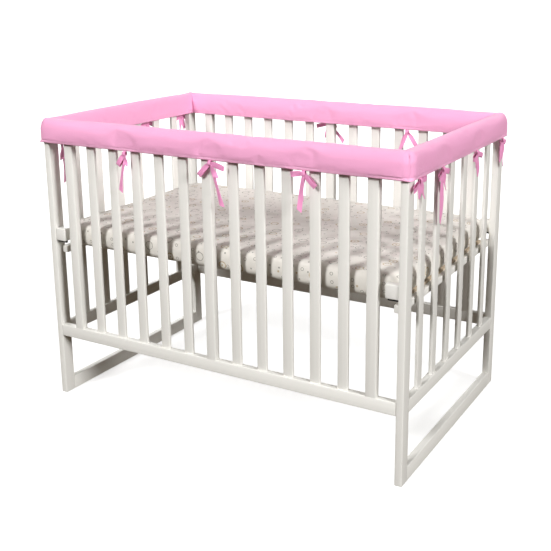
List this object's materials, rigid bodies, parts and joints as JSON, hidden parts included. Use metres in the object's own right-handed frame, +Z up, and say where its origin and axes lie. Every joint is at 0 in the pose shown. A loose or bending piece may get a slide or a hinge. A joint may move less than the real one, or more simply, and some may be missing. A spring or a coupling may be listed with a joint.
{
  "type": "crib rail cover on a crib",
  "caption": "Padded pink cloth cover over all the top rails of a white slatted crib, mitred at the corners and tied on with ribbon bows; the plain crib stands under it with its mattress.",
  "frame": {"origin": "on the floor, under the middle of the crib", "axes": "+X along the crib's long side to the right, +Y to the back, +Z up"},
  "size_m": [1.2759, 0.816, 0.93],
  "materials": {
    "padded_cloth": "soft matte brushed cotton over polyester padding",
    "ribbon": "plain woven ribbon, slight sheen",
    "painted_wood": "satin off-white paint",
    "mattress_cloth": "matte printed cotton, small grey marks",
    "plain_wood": "raw plywood",
    "dark_steel": "black oxide"
  },
  "bodies": {
    "root": {"batten_left": "painted_wood", "batten_right": "painted_wood", "bolt_back_left": "dark_steel", "bolt_back_right": "dark_steel", "bolt_front_left": "dark_steel", "bolt_front_right": "dark_steel", "bracket_back_left": "painted_wood", "bracket_back_right": "painted_wood", "bracket_front_left": "painted_wood", "bracket_front_right": "painted_wood", "cover_back": "padded_cloth", "cover_front": "padded_cloth", "cover_left": "padded_cloth", "cover_right": "padded_cloth", "end_left": "painted_wood", "end_right": "painted_wood", "mattress": "mattress_cloth", "mattress_board": "plain_wood", "post_back_left": "painted_wood", "post_back_right": "painted_wood", "post_front_left": "painted_wood", "post_front_right": "painted_wood", "runner_left": "painted_wood", "runner_right": "painted_wood", "side_back": "painted_wood", "side_front": "painted_wood", "tie_back_1": "ribbon", "tie_back_2": "ribbon", "tie_front_1": "ribbon", "tie_front_2": "ribbon", "tie_front_3": "ribbon", "tie_left_1": "ribbon", "tie_left_2": "ribbon", "tie_left_3": "ribbon", "tie_right_1": "ribbon", "tie_right_2": "ribbon", "tie_right_3": "ribbon", "tie_right_4": "ribbon"}
  },
  "joints": []
}
